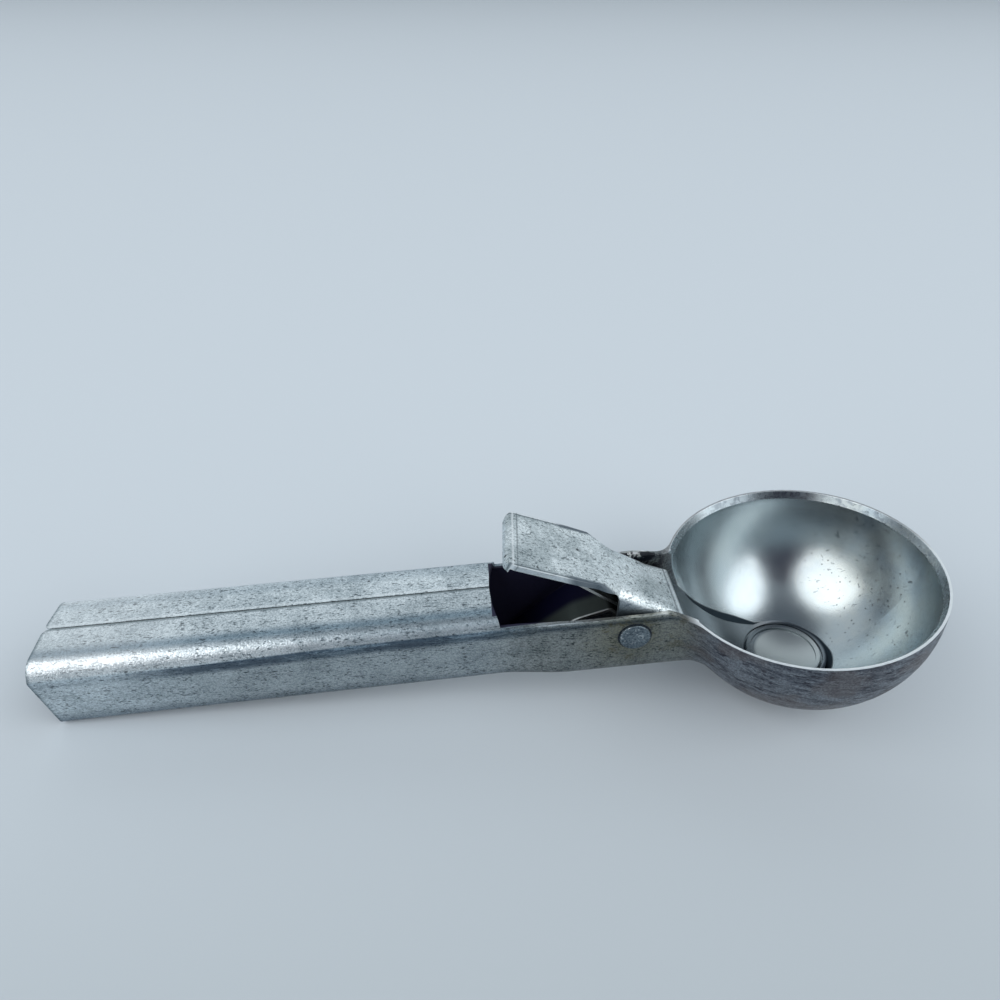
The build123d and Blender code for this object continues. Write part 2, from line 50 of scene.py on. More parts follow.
# The handle's section
SIDE_LINE_HALF = (12.0 * MM, 10.8 * MM)     # half width at the side line, rear and front
SIDE_LINE_HEIGHT = (0.4 * MM, -0.9 * MM)    # height of the side line, front and rear
FLOOR_DEPTH = (19.4 * MM, 17.5 * MM)        # the floor under the handle's line, rear and front
SIDE_TAPER = 0.21                           # how fast the sides close toward the floor
SHOULDER_LEAN = 0.61                        # how fast the shoulders close toward the roof
ROOF_HEIGHT = 3.4 * MM
ROOF_FALL = 0.072

# Colours
SHEET_LIGHT, SHEET_DARK = (0.80, 0.88, 0.92), (0.36, 0.43, 0.47)
LEVER_LIGHT, LEVER_DARK = (0.82, 0.89, 0.92), (0.46, 0.53, 0.56)
BOWL_LIGHT, BOWL_DARK = (0.25, 0.28, 0.315), (0.09, 0.10, 0.12)
RIVET_LIGHT, RIVET_DARK = (0.21, 0.26, 0.29), (0.07, 0.095, 0.12)
# The next four are colours of painted highlights: glints, bright lines on edges, and sheen
GLINT = (0.85, 0.90, 0.93)
BRIGHT = (0.86, 0.91, 0.94)
EDGE_HIGHLIGHT = (0.88, 0.93, 0.96)
PAINTED_SHEEN = (0.95, 0.98, 1.0)
SPECKS = (0.06, 0.07, 0.07)

# Room and camera
LAMP_DISTANCE = 6.0
ROOM_STRENGTH = 0.9
TABLE_HALF = 15.0
TABLE_DROP = 0.00005                        # the table lies just under the feet of the object
CAMERA_PLACE = (-0.008192, -0.125473, 0.144430)
CAMERA_YAW, CAMERA_PITCH, CAMERA_ROLL = -0.072519, 0.623255, -0.007749
CAMERA_LENS = 27.064


class Finish:
    """A material under construction, with short calls for the nodes that its pattern needs."""

    def __init__(self, name, tree=None):
        if tree is None:
            self.material = bpy.data.materials.new(name)
            self.material.use_nodes = True
            tree = self.material.node_tree
        self.tree = tree
        self.tree.nodes.clear()
        self.coords = None

    def add(self, kind, **settings):
        node = self.tree.nodes.new(kind)
        for key, value in settings.items():
            setattr(node, key, value)
        return node

    def feed(self, target, value):
        if isinstance(value, bpy.types.NodeSocket):
            self.tree.links.new(value, target)
        else:
            target.default_value = value

    def maths(self, operation, a, b=0.0):
        node = self.add("ShaderNodeMath", operation=operation)
        self.feed(node.inputs[0], a)
        self.feed(node.inputs[1], b)
        return node.outputs[0]

    def plus(self, a, b):
        return self.maths("ADD", a, b)

    def minus(self, a, b):
        return self.maths("SUBTRACT", a, b)

    def times(self, a, b):
        return self.maths("MULTIPLY", a, b)

    def least(self, a, b):
        return self.maths("MINIMUM", a, b)

    def most(self, *values):
        total = values[0]
        for value in values[1:]:
            total = self.maths("MAXIMUM", total, value)
        return total

    def product(self, *values):
        total = values[0]
        for value in values[1:]:
            total = self.times(total, value)
        return total

    def vector(self, operation, a, b=(0.0, 0.0, 0.0), output=0):
        node = self.add("ShaderNodeVectorMath", operation=operation)
        self.feed(node.inputs[0], a)
        self.feed(node.inputs[1], b)
        return node.outputs[output]

    def reach(self, *sides):
        """Length of the diagonal over two or three distances."""
        node = self.add("ShaderNodeCombineXYZ")
        for socket, side in zip(node.inputs, sides):
            self.feed(socket, side)
        return self.vector("LENGTH", node.outputs[0], output=1)

    def place(self):
        """Where a point of the piece is, in metres."""
        if self.coords is None:
            self.coords = self.add("ShaderNodeTexCoord").outputs["Object"]
        return self.coords

    def along(self, origin, direction):
        """How far a point lies from an origin along a direction."""
        offset = self.vector("SUBTRACT", self.place(), origin)
        return self.vector("DOT_PRODUCT", offset, direction, 1)

    def across(self):
        return self.along((0.0, 0.0, 0.0), (0.0, 1.0, 0.0))

    def stretched(self, scale, turn=(0.0, 0.0, 0.0)):
        node = self.add("ShaderNodeMapping")
        self.feed(node.inputs["Vector"], self.place())
        node.inputs["Rotation"].default_value = turn
        node.inputs["Scale"].default_value = scale
        return node.outputs[0]

    def noise(self, scale, detail=2.0, coords=None, roughness=0.5, bend=0.0):
        node = self.add("ShaderNodeTexNoise")
        self.feed(node.inputs["Vector"], self.place() if coords is None else coords)
        node.inputs["Scale"].default_value = scale
        node.inputs["Detail"].default_value = detail
        node.inputs["Roughness"].default_value = roughness
        node.inputs["Distortion"].default_value = bend
        return node.outputs["Fac"]

    def cells(self, scale, output):
        node = self.add("ShaderNodeTexVoronoi")
        self.feed(node.inputs["Vector"], self.place())
        node.inputs["Scale"].default_value = scale
        return node.outputs[output]

    def step(self, value, low, high, bottom=0.0, top=1.0):
        """Runs smoothly from bottom at low to top at high."""
        node = self.add("ShaderNodeMapRange", interpolation_type="SMOOTHSTEP")
        self.feed(node.inputs["Value"], value)
        self.feed(node.inputs["From Min"], low)
        self.feed(node.inputs["From Max"], high)
        self.feed(node.inputs["To Min"], bottom)
        self.feed(node.inputs["To Max"], top)
        return node.outputs[0]

    def near(self, value, middle, width):
        """One at the middle, none a width away on either side."""
        gap = self.maths("ABSOLUTE", self.minus(value, middle))
        return self.step(gap, 0.0, width, 1.0, 0.0)

    def patch(self, middle, radius):
        """One at a place on the object, none a radius away."""
        gap = self.vector("DISTANCE", self.place(), middle, 1)
        return self.step(gap, 0.0, radius, 1.0, 0.0)

    def blend(self, share, first, second):
        """Between two colours."""
        node = self.add("ShaderNodeMix", data_type="RGBA")
        self.feed(node.inputs[0], share)
        for socket, colour in ((node.inputs[6], first), (node.inputs[7], second)):
            plain = not isinstance(colour, bpy.types.NodeSocket)
            self.feed(socket, (*colour, 1.0) if plain else colour)
        return node.outputs[2]

    def choose(self, share, first, second):
        """Between two roughnesses or two reliefs."""
        vector = getattr(first, "type", "VALUE") == "VECTOR"
        node = self.add("ShaderNodeMix", data_type="VECTOR" if vector else "FLOAT")
        self.feed(node.inputs[0], share)
        self.feed(node.inputs[4 if vector else 2], first)
        self.feed(node.inputs[5 if vector else 3], second)
        return node.outputs[1 if vector else 0]

    def relief(self, height, depth):
        node = self.add("ShaderNodeBump")
        node.inputs["Strength"].default_value = 1.0
        node.inputs["Distance"].default_value = depth
        self.feed(node.inputs["Height"], height)
        return node.outputs[0]

    def metal(self, colour, roughness, normal, metallic):
        shader = self.add("ShaderNodeBsdfPrincipled")
        self.feed(shader.inputs["Base Color"], colour)
        self.feed(shader.inputs["Roughness"], roughness)
        self.feed(shader.inputs["Metallic"], metallic)
        self.feed(shader.inputs["Normal"], normal)
        out = self.add("ShaderNodeOutputMaterial")
        self.tree.links.new(shader.outputs[0], out.inputs[0])
        return self.material


class Look:
    """Colour, roughness and relief of a surface, worked up in layers."""

    def __init__(self, finish, colour, rough, normal):
        self.finish = finish
        self.colour = colour
        self.rough = rough
        self.normal = normal
        self.metallic = 1.0

    def stain(self, where, colour, strength=1.0, rough=None):
        share = self.finish.times(where, strength)
        self.colour = self.finish.blend(share, self.colour, colour)
        if rough is not None:
            self.rough = self.finish.choose(share, self.rough, rough)

    def tone(self, where, colour, strength=1.0):
        """Darkens or tints what is already there, which stays visible."""
        node = self.finish.add("ShaderNodeMix", data_type="RGBA", blend_type="MULTIPLY")
        self.finish.feed(node.inputs[0], self.finish.times(where, strength))
        self.finish.feed(node.inputs[6], self.colour)
        node.inputs[7].default_value = (*colour, 1.0)
        self.colour = node.outputs[2]

    def cover(self, where, other):
        self.colour = self.finish.blend(where, self.colour, other.colour)
        self.rough = self.finish.choose(where, self.rough, other.rough)
        self.normal = self.finish.choose(where, self.normal, other.normal)

    def material(self):
        return self.finish.metal(self.colour, self.rough, self.normal, self.metallic)


class Places:
    """Where a point lies: along and above the handle's line, across it, and from the bowl."""

    def __init__(self, finish):
        self.tool_x = finish.along(RIM_MIDDLE, HANDLE_LINE)
        self.tool_z = finish.along(RIM_MIDDLE, HANDLE_UP)
        self.across = finish.across()
        self.side = finish.maths("ABSOLUTE", self.across)
        self.rim_x = finish.along(BOWL_MIDDLE, RIM_LINE)
        self.rim_z = finish.along(BOWL_MIDDLE, RIM_UP)


def pits(finish, scale, size, share):
    """Small dark pits, only in some of the cells."""
    distance = finish.cells(scale, "Distance")
    luck = finish.add("ShaderNodeSeparateColor")
    finish.feed(luck.inputs[0], finish.cells(scale, "Color"))
    chosen = finish.step(luck.outputs[0], 1.0 - share, 1.0 - share + 0.05)
    return finish.product(finish.step(distance, size * 0.5, size, 1.0, 0.0), chosen)


def hairs(finish, run, turn, width, share):
    """Hairline scratches that wander and break off."""
    coords = finish.stretched(run, turn)
    line = finish.near(finish.noise(1.0, 1.0, coords, 0.5, 0.8), 0.5, width)
    broken = finish.step(finish.noise(2.3, 1.0, coords), 0.58 - share, 0.66 - share)
    return finish.product(line, broken)


def mottled(finish, light, dark, run, amount, ink=(0.05, 0.07, 0.085), shine=0.38, sparkle=0.5):
    """Dull tumbled sheet: soft clouds, a fine grain, small dark marks drawn out by run, and
    painted glints.
    """
    cloud = finish.step(finish.noise(110.0, 4.0, roughness=0.65), 0.36, 0.66)
    grain = finish.step(finish.noise(2500.0, 2.0, roughness=0.6), 0.38, 0.62)
    share = finish.plus(finish.times(cloud, 0.40), finish.times(grain, 0.55))
    colour = finish.blend(share, light, dark)
    normal = finish.relief(finish.noise(2600.0, 1.0), 0.00007)
    look = Look(finish, colour, finish.step(grain, 0.0, 1.0, shine, shine + 0.08), normal)
    marks = finish.noise(1.0, 3.0, finish.stretched(run), 0.65, 0.4)
    worn = finish.noise(230.0, 3.0, roughness=0.6)
    level = finish.plus(marks, finish.times(worn, 0.25))
    low = 0.74 - 0.10 * amount
    look.stain(finish.step(level, low, low + 0.08), dark, 0.8, 0.5)
    look.stain(finish.step(level, low + 0.07, low + 0.14), ink, 0.8, 0.6)
    # Painted glints: small bright specks of painted highlight, as strong as sparkle says
    glints = finish.noise(2600.0, 2.0, finish.stretched((0.6, 1.0, 1.0)))
    look.stain(finish.step(glints, 0.60, 0.72), GLINT, sparkle)
    return look


def handle_section(finish, at):
    """How far a point is under the side line, how deep in the section, and if on an inner face."""
    back = finish.step(at.tool_x, WINGS_FRONT, REAR_END)
    below = finish.minus(finish.step(back, 0.0, 1.0, *SIDE_LINE_HEIGHT), at.tool_z)
    half = finish.step(at.tool_x, REAR_END, NECK_START, *SIDE_LINE_HALF)
    taper = finish.step(at.tool_x, WINGS_FRONT, NECK_START, SIDE_TAPER, 0.0)
    wall = finish.minus(half, finish.times(finish.most(below, 0.0), taper))
    above = finish.most(finish.times(below, -1.0), 0.0)
    depth = finish.minus(finish.minus(wall, finish.times(above, SHOULDER_LEAN)), at.side)
    roof = finish.minus(ROOF_HEIGHT, finish.times(at.side, ROOF_FALL))
    no_roof = finish.step(at.tool_x, -72.0 * MM, -66.0 * MM, 0.0, 20.0 * MM)
    under_roof = finish.plus(finish.minus(roof, at.tool_z), no_roof)
    floor = finish.plus(at.tool_z, finish.step(at.tool_x, REAR_END, NECK_START, *FLOOR_DEPTH))
    hidden = finish.least(finish.least(depth, under_roof), floor)
    return below, depth, finish.step(hidden, 0.55 * MM, 0.8 * MM)


def band_the_handle(finish, look, at, below):
    """Painted shade and painted highlights in bands along the handle, a dark seam with a painted
    highlight beside it, painted shade along the bottom, and a darker line at the rear end.
    """
    handle = finish.step(at.tool_x, -62.0 * MM, -68.0 * MM)
    # Painted shade: a darker band on the roof beside each shoulder, weaker on the far side
    roof_shade = finish.near(at.side, 7.4 * MM, 2.6 * MM)
    roof_shade = finish.product(roof_shade, handle, finish.step(at.tool_z, 0.6 * MM, 1.6 * MM))
    roof_shade = finish.product(roof_shade, finish.step(at.across, -2 * MM, 4 * MM, 1.0, 0.35))
    look.tone(roof_shade, (0.34, 0.43, 0.50), 0.9)
    # Painted shade on the lower side under the side line, weaker toward the rear
    forward = finish.step(at.tool_x, -160 * MM, -120 * MM, 0.3, 1.0)
    look.tone(finish.product(finish.step(below, 0.0, 1.5 * MM), forward), (0.55, 0.56, 0.56), 0.9)
    # The shoulders: painted shade toward the front, a painted highlight toward the rear
    shoulder = finish.near(at.side, 10.0 * MM, 2.4 * MM)
    shoulder = finish.product(shoulder, finish.step(below, 0.7 * MM, -0.5 * MM), handle)
    front_part = finish.step(at.tool_x, -135 * MM, -85 * MM)
    look.tone(finish.product(shoulder, front_part), (0.58, 0.63, 0.67), 0.95)
    rear_part = finish.step(at.tool_x, -128 * MM, -160 * MM)
    look.stain(finish.product(shoulder, rear_part), PAINTED_SHEEN, 0.35)
    # A painted sheen on the roof toward the rear
    roof = finish.step(at.tool_z, 1.5 * MM, 3.0 * MM)
    look.stain(finish.product(rear_part, roof), PAINTED_SHEEN, 0.22)
    look.stain(finish.near(at.across, -0.35 * MM, 0.5 * MM), (0.16, 0.21, 0.23), 0.75)
    # A painted highlight beside the seam
    look.stain(finish.near(at.across, 0.75 * MM, 0.5 * MM), (0.86, 0.92, 0.95), 0.5)
    # Painted shade along the bottom, behind the bowl
    bottom = finish.step(at.tool_z, -13.0 * MM, -18.5 * MM)
    bottom = finish.product(bottom, finish.step(at.rim_x, -34 * MM, -40 * MM))
    look.tone(bottom, (0.35, 0.40, 0.45), 0.9)
    plumb_x = finish.along((0.0, 0.0, 0.0), (1.0, 0.0, 0.0))
    look.tone(finish.near(plumb_x, REAR_EDGE_X, 0.8 * MM), (0.38, 0.43, 0.45), 0.9)


def shade_and_grime_the_side_line(finish, look, at, below):
    """Painted shade along the side line's crease, and grime in torn patches there, thickest in two
    places.
    """
    torn = finish.noise(1.0, 5.0, finish.stretched((200.0, 900.0, 900.0)), 0.8, 0.5)
    thick = finish.most(finish.near(at.tool_x, -128 * MM, 26 * MM),
                        finish.near(at.tool_x, -89 * MM, 13 * MM))
    torn = finish.step(finish.plus(torn, finish.times(thick, 0.14)), 0.47, 0.60)
    band = finish.product(finish.step(below, -0.35 * MM, 0.1 * MM),
                          finish.step(at.tool_x, -50 * MM, -72 * MM),
                          finish.step(below, 1.8 * MM, 4.0 * MM, 1.0, 0.0),
                          finish.step(at.side, 9 * MM, 10 * MM))
    kept = finish.step(at.tool_x, -154 * MM, -132 * MM, 0.25, 1.0)
    # Painted shade: the whole band is darkened; the torn patches over it are grime
    look.tone(finish.product(band, kept), (0.33, 0.42, 0.50), 0.9)
    look.stain(finish.product(band, torn, kept), (0.04, 0.06, 0.09), 0.7, 0.5)


def wear_and_shade_the_neck(finish, look, at, below, depth):
    """Stains on the neck about the rivet and toward the bowl, painted shade under the wall's top
    edge and around the rivet's head, a painted highlight on the top edge, and dirt on the far
    wall.
    """
    stained = finish.most(finish.patch(Vector((0.029, -0.011, 0.024)), 15 * MM),
                          finish.patch(Vector((0.046, -0.013, 0.025)), 17 * MM))
    trough = finish.product(finish.step(at.tool_x, -78 * MM, -60 * MM),
                            finish.step(below, -2.0 * MM, -0.5 * MM))
    look.tone(trough, (0.62, 0.60, 0.56), 0.9)
    beside_top = finish.product(finish.step(at.tool_x, -64 * MM, -60 * MM),
                                finish.step(at.rim_x, -27 * MM, -33 * MM))
    # Painted shade just under the neck wall's top edge, and a painted highlight along the edge
    # itself
    under_edge = finish.near(at.tool_z, -1.0 * MM, 1.2 * MM)
    look.tone(finish.product(beside_top, under_edge), (0.28, 0.34, 0.42), 0.9)
    top_edge = finish.near(at.tool_z, 0.45 * MM, 0.35 * MM)
    look.stain(finish.product(beside_top, top_edge), (0.85, 0.9, 0.93), 0.8, 0.3)
    look.tone(stained, (0.66, 0.60, 0.44), 0.9)
    speckled = finish.noise(1.0, 4.0, finish.stretched((700.0, 1500.0, 1500.0)), 0.75)
    speckled = finish.step(speckled, 0.53, 0.62)
    look.stain(finish.product(trough, speckled), (0.10, 0.11, 0.12), 0.7, 0.55)
    blots = finish.noise(1.0, 4.0, finish.stretched((260.0, 420.0, 420.0)), 0.7)
    blots = finish.step(blots, 0.52, 0.62)
    look.stain(finish.product(stained, blots), (0.10, 0.09, 0.05), 0.8, 0.6)
    rivet_reach = finish.reach(finish.along(PIVOT, (1.0, 0.0, 0.0)),
                               finish.along(PIVOT, (0.0, 0.0, 1.0)))
    # Painted shade: a dark ring in the gap around the rivet's head
    around_head = finish.near(rivet_reach, 3.55 * MM, 0.45 * MM)
    look.stain(around_head, (0.02, 0.03, 0.05), 0.95, 0.6)
    crusted = finish.step(finish.patch(Vector((0.0330, 0.0100, 0.0280)), 14 * MM), 0.15, 0.45)
    crust = finish.step(finish.noise(420.0, 4.0, roughness=0.7), 0.43, 0.50)
    crust = finish.product(crust, finish.step(depth, 0.1 * MM, 0.5 * MM))
    look.stain(finish.product(crusted, crust), (0.01, 0.012, 0.02), 0.95, 0.7)


def outside_of_bowl(finish):
    """Dark, with streaks around it and a brown tint in places."""
    look = mottled(finish, BOWL_LIGHT, BOWL_DARK, (500.0, 500.0, 1900.0), 1.1,
                   ink=(0.06, 0.06, 0.08), shine=0.40, sparkle=0.1)
    around = finish.stretched((130.0, 130.0, 620.0), (0.0, -LEAN - RIM_LEAN, 0.0))
    streaks = finish.step(finish.noise(1.0, 4.0, around, 0.65), 0.46, 0.60)
    look.tone(streaks, (0.50, 0.50, 0.54), 0.9)
    tint = finish.step(finish.noise(110.0, 2.0), 0.45, 0.6)
    look.stain(tint, (0.20, 0.165, 0.155), 0.3)
    return look


def inside_of_bowl(finish, at):
    """Drawn smooth and wiped clean, with a few specks toward the front, a worn rim, and painted
    shade on the rim's inner band at the far side.
    """
    haze = finish.noise(80.0, 3.0, roughness=0.6)
    colour = finish.blend(finish.step(haze, 0.3, 0.7), (0.40, 0.465, 0.50), (0.45, 0.51, 0.54))
    rough = finish.step(finish.noise(220.0, 3.0), 0.3, 0.7, 0.24, 0.27)
    look = Look(finish, colour, rough, finish.relief(finish.noise(700.0, 2.0), 0.000006))
    front = finish.step(at.rim_x, 2 * MM, 24 * MM)
    look.stain(finish.product(front, finish.step(haze, 0.3, 0.6)), (0.47, 0.47, 0.40), 0.4)
    forward = finish.step(front, 0.0, 1.0, 0.1, 1.0)
    look.stain(finish.product(pits(finish, 640.0, 0.18, 0.60), forward), SPECKS, 0.85)
    slanting = finish.stretched((420.0, 900.0, 900.0), (0.0, 0.0, 0.5))
    short_marks = finish.step(finish.noise(1.0, 3.0, slanting, 0.65, 0.4), 0.62, 0.68)
    look.stain(finish.product(short_marks, forward), (0.12, 0.14, 0.15), 0.8)
    worn = finish.step(finish.noise(600.0, 4.0, roughness=0.7), 0.45, 0.62)
    worn = finish.product(finish.step(at.rim_z, -0.4 * MM, 0.4 * MM), worn)
    look.stain(worn, (0.25, 0.29, 0.33), 0.6, 0.45)
    # Painted shade on the rim's inner band, in the far middle and toward the far front
    far_middle = finish.product(finish.near(at.rim_x, -3 * MM, 19 * MM),
                                finish.step(at.across, 15 * MM, 24 * MM),
                                finish.step(at.rim_z, -1.5 * MM, 0.3 * MM))
    look.tone(far_middle, (0.42, 0.45, 0.48), 0.9)
    far_front = finish.product(finish.step(at.rim_x, 2 * MM, 14 * MM),
                               finish.step(at.across, 2 * MM, 10 * MM),
                               finish.step(at.rim_z, -0.4 * MM, 0.4 * MM))
    look.tone(far_front, (0.60, 0.63, 0.66), 0.9)
    return look


def on_inner_face(finish, at):
    """One on the bowl's inner face, none on its outside and behind it."""
    low = finish.least(at.rim_z, 0.0)
    reach = finish.reach(at.rim_x, at.across, low)
    edge = finish.step(at.rim_z, 0.0, BOWL_STRAIGHT,
                       BOWL_INSIDE + 0.55 * MM, BOWL_INSIDE + 1.05 * MM)
    gap = finish.minus(reach, edge)
    return finish.product(finish.step(gap, 0.12 * MM, -0.12 * MM),
                          finish.step(at.rim_x, -30 * MM, -28 * MM))


def highlight_the_lip(finish, look, at):
    """A painted highlight along the rim's edge, strongest on the near side."""
    top = finish.step(at.rim_z, BOWL_STRAIGHT - 0.15 * MM, BOWL_STRAIGHT - 0.05 * MM)
    lip = finish.product(top, finish.step(at.rim_x, -30 * MM, -26 * MM),
                         finish.step(at.across, -2 * MM, 8 * MM, 1.0, 0.3))
    look.stain(lip, EDGE_HIGHLIGHT, 0.9, 0.28)


def reach_of_disc(finish, at):
    """How far a point lies from the disc's middle, over the rim's plane."""
    return finish.reach(finish.plus(at.rim_x, DISC_SETBACK), at.across)


def shadow_and_grime_about_the_tongue(finish, look, at, inside):
    """A dark line on the bowl where the tongue lies on it: painted shadow at the tongue's edge,
    with grime in it.
    """
    half = finish.step(at.rim_x, -28 * MM, -14 * MM, 8.0 * MM, 9.3 * MM)
    past_strip = finish.step(at.rim_x, -3 * MM, 1 * MM, 0.0, 20 * MM)
    beside = finish.plus(finish.minus(at.side, half), past_strip)
    off = finish.least(beside, finish.minus(reach_of_disc(finish, at), DISC_RADIUS))
    far_width = finish.step(at.rim_x, -12 * MM, 3 * MM, 3.3 * MM, 0.15 * MM)
    width = finish.step(at.across, -2 * MM, 2 * MM, 0.5 * MM, far_width)
    outline = finish.product(finish.step(off, -1.5 * MM, -1.0 * MM),
                             finish.step(finish.minus(off, width), 0.25 * MM, -0.25 * MM))
    look.stain(finish.product(outline, inside), (0.012, 0.022, 0.032), 0.97, 0.5)


def body_finish():
    finish = Finish("tumbled_sheet")
    at = Places(finish)
    look = mottled(finish, SHEET_LIGHT, SHEET_DARK, (1000.0, 2300.0, 2300.0), 0.95)
    look.stain(pits(finish, 520.0, 0.22, 0.06), (0.03, 0.04, 0.05), 0.8, 0.6)
    drawn_out = hairs(finish, (90.0, 330.0, 330.0), (0.0, 0.0, 0.0), 0.012, -0.03)
    look.stain(drawn_out, (0.12, 0.15, 0.17), 0.8)
    slanting = hairs(finish, (260.0, 430.0, 430.0), (0.0, 0.0, 0.6), 0.012, 0.03)
    look.stain(slanting, (0.14, 0.18, 0.20), 0.65)

    below, depth, inner = handle_section(finish, at)
    band_the_handle(finish, look, at, below)
    shade_and_grime_the_side_line(finish, look, at, below)
    wear_and_shade_the_neck(finish, look, at, below, depth)

    look.cover(finish.step(at.rim_x, -33 * MM, -24 * MM), outside_of_bowl(finish))
    inside = on_inner_face(finish, at)
    look.cover(inside, inside_of_bowl(finish, at))
    highlight_the_lip(finish, look, at)
    shadow_and_grime_about_the_tongue(finish, look, at, inside)

    # Painted shade: the hollow of handle and trough is painted near black and made less metallic
    deep = finish.product(inner, finish.step(at.tool_x, -40 * MM, -50 * MM))
    look.stain(deep, (0.004, 0.004, 0.028), 0.99, 0.7)
    look.metallic = finish.step(deep, 0.0, 1.0, 1.0, 0.2)
    return look.material()


def scratch_the_tab(finish, look):
    """Scratches that curve and cross each other, and small pits."""
    curved = [
        hairs(finish, (180.0, 420.0, 420.0), (0.0, 0.0, 0.3), 0.014, 0.10),
        hairs(finish, (420.0, 240.0, 420.0), (0.0, 0.0, 1.1), 0.014, 0.08),
        hairs(finish, (150.0, 700.0, 500.0), (0.0, 0.0, -0.5), 0.018, 0.12),
        hairs(finish, (330.0, 330.0, 330.0), (0.4, 0.0, 0.8), 0.010, 0.08),
    ]
    look.stain(finish.most(*curved), (0.09, 0.12, 0.135), 0.8, 0.5)
    look.stain(pits(finish, 600.0, 0.3, 0.12), (0.04, 0.05, 0.06), 0.85, 0.6)


def paint_light_on_tab_edges(finish, look, at):
    """Painted shade and painted highlights: a dark and a bright line along the tab's sides and
    across its curled end, darker sides where the sheet turns down, and painted shade on the ears.
    """
    look.tone(finish.step(at.side, 7.6 * MM, 9.2 * MM), (0.60, 0.63, 0.65), 0.8)
    tab = finish.step(at.tool_x, -47 * MM, -50 * MM)
    dark_line = finish.near(at.side, 8.9 * MM, 0.35 * MM)
    look.stain(finish.product(dark_line, tab), (0.10, 0.13, 0.15), 0.7)
    bright_line = finish.near(at.side, 9.35 * MM, 0.3 * MM)
    look.stain(finish.product(bright_line, tab), EDGE_HIGHLIGHT, 0.8, 0.3)
    along_tab = finish.plus(finish.along(PIVOT, TAB_LINE), finish.times(at.across, TAB_SKEW))
    look.stain(finish.near(along_tab, 32.0 * MM, 0.3 * MM), (0.12, 0.15, 0.17), 0.65)
    look.stain(finish.near(along_tab, 33.0 * MM, 0.4 * MM), BRIGHT, 0.6, 0.3)
    # Painted shade on the ears' outer faces
    ear = finish.product(finish.step(at.side, 8.0 * MM, 8.6 * MM),
                         finish.step(at.tool_x, -56 * MM, -53 * MM),
                         finish.step(at.tool_x, -50 * MM, -32 * MM, 1.0, 0.75))
    look.stain(ear, (0.10, 0.13, 0.16), 0.85, 0.5)


def smooth_tongue(finish, at):
    """Plain and smooth, with painted shade in the groove and a painted highlight on the rolled
    edge about the paler disc.
    """
    haze = finish.step(finish.noise(90.0, 3.0), 0.3, 0.7)
    colour = finish.blend(haze, (0.19, 0.225, 0.25), (0.24, 0.275, 0.30))
    look = Look(finish, colour, 0.27, finish.relief(finish.noise(800.0, 2.0), 0.000008))
    reach = reach_of_disc(finish, at)
    # Painted shade in the groove round the disc
    groove = finish.product(finish.near(reach, 9.05 * MM, 0.6 * MM),
                            finish.step(at.rim_x, -9 * MM, 0.0))
    look.stain(groove, (0.02, 0.03, 0.045), 0.9, 0.5)
    # A painted highlight on the front half of the disc's rolled edge
    rolled = finish.product(finish.step(reach, 9.65 * MM, 9.85 * MM),
                            finish.step(at.rim_x, -7 * MM, -1 * MM))
    look.stain(rolled, GLINT, 0.9, 0.25)
    look.stain(finish.step(reach, 8.2 * MM, 7.2 * MM), (0.56, 0.61, 0.62), 0.85, 0.34)
    return look


def lever_finish():
    finish = Finish("scratched_sheet")
    at = Places(finish)
    look = mottled(finish, LEVER_LIGHT, LEVER_DARK, (1300.0, 2000.0, 2000.0), 0.9)
    look.tone(finish.step(finish.noise(130.0, 3.0), 0.45, 0.62), (0.62, 0.65, 0.66), 0.8)
    scratch_the_tab(finish, look)
    paint_light_on_tab_edges(finish, look, at)
    # Painted shade and a painted highlight along the bend at the lever's front crest
    look.stain(finish.near(at.tool_x, -30.1 * MM, 0.35 * MM), (0.08, 0.10, 0.12), 0.7)
    look.stain(finish.near(at.tool_x, -29.3 * MM, 0.4 * MM), BRIGHT, 0.8, 0.3)
    look.cover(finish.step(at.tool_x, -29.0 * MM, -28.5 * MM), smooth_tongue(finish, at))
    return look.material()


def rivet_finish():
    finish = Finish("rivet_metal")
    return mottled(finish, RIVET_LIGHT, RIVET_DARK, (1900.0, 1900.0, 1900.0), 0.8).material()


def spring_finish():
    """Drawn strip, with painted shadow under the tab and on the lower leg's face."""
    finish = Finish("spring_strip")
    cloud = finish.step(finish.noise(200.0, 3.0), 0.3, 0.7)
    colour = finish.blend(cloud, (0.42, 0.44, 0.44), (0.56, 0.58, 0.58))
    drawn = finish.noise(1.0, 2.0, finish.stretched((90.0, 2600.0, 300.0)))
    rough = finish.step(drawn, 0.3, 0.7, 0.30, 0.45)
    look = Look(finish, colour, rough, finish.relief(drawn, 0.00001))
    across = finish.across()
    # Painted shadow on the lower leg's face inside its edges, and near black on the far half
    # behind the pivot
    lower = finish.step(finish.along(PIVOT, HANDLE_UP), 8.5 * MM, 6.0 * MM)
    off_edges = finish.step(finish.maths("ABSOLUTE", across), 6.1 * MM, 5.7 * MM)
    look.stain(finish.product(lower, off_edges), (0.03, 0.04, 0.038), 0.96, 0.6)
    behind = finish.step(finish.along(PIVOT, HANDLE_LINE), -4 * MM, -7 * MM)
    far_half = finish.step(across, -2.0 * MM, 0.5 * MM)
    look.stain(finish.product(behind, far_half), (0.004, 0.004, 0.02), 0.97, 0.7)
    return look.material()


